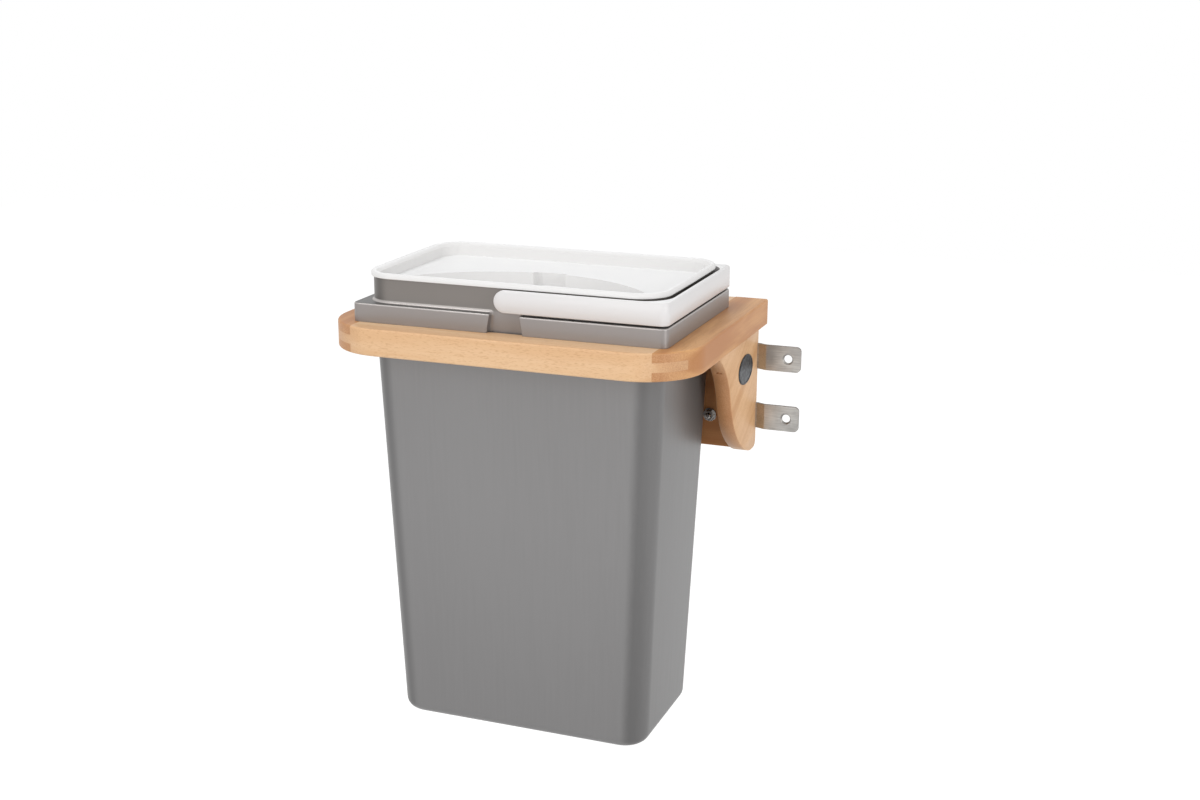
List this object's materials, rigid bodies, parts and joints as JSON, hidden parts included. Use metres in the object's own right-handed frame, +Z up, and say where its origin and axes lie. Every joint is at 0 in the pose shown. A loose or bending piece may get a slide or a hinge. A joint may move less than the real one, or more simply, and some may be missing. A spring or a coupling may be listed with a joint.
{
  "type": "door-mounted trash can",
  "caption": "Rectangular kitchen pail with lid and carry handle, lifted out of a rounded wooden ring with corbels that hangs on a cabinet door by screwed steel straps.",
  "frame": {"origin": "centre of the rectangle of the screw holes, on the door plane that the strap ends bear on", "axes": "+X to the right, +Y towards the door, +Z up"},
  "size_m": [0.3192, 0.194, 0.3292],
  "materials": {
    "beech_front": "satin clear lacquer over beech",
    "beech_side": "satin clear lacquer over beech",
    "beech_corbel": "satin clear lacquer over beech",
    "dowel_beech": "plain beech dowel",
    "strap_steel": "zinc-plated, satin",
    "bolt_steel": "zinc-plated",
    "plate_metal": "dark satin, bare",
    "pail_plastic": "silver-grey satin moulded plastic",
    "handle_plastic": "white moulded plastic",
    "lid_plastic": "white moulded plastic"
  },
  "bodies": {
    "mounting_frame": {"front_rail": "beech_front", "left_rail": "beech_side", "right_rail": "beech_side", "rear_rail": "beech_front", "left_corbel": "beech_corbel", "right_corbel": "beech_corbel", "back_board": "beech_corbel", "strap_upper_left": "strap_steel", "strap_upper_right": "strap_steel", "strap_lower_left": "strap_steel", "strap_lower_right": "strap_steel", "strap_bolts": "bolt_steel", "strap_washers": "bolt_steel", "strap_nuts": "bolt_steel", "rail_dowels": "dowel_beech", "corbel_dowels": "dowel_beech", "board_dowels": "dowel_beech", "corbel_plate": "plate_metal"},
    "pail": {"pail": "pail_plastic"},
    "carry_handle": {"carry_handle": "handle_plastic"},
    "lid": {"lid": "lid_plastic"}
  },
  "joints": [
    {"name": "pail_lift", "type": "slide", "parent": "mounting_frame", "child": "pail", "axis": [0, 0, 1], "range_m": [0, 0.32]},
    {"name": "handle_swing", "type": "hinge", "parent": "pail", "child": "carry_handle", "pos_m": [0, -0.1017, 0.0872], "axis": [0, -1, 0], "range_deg": [0, 180]},
    {"name": "lid_lift", "type": "slide", "parent": "pail", "child": "lid", "axis": [0, 0, 1], "range_m": [0, 0.16]}
  ]
}
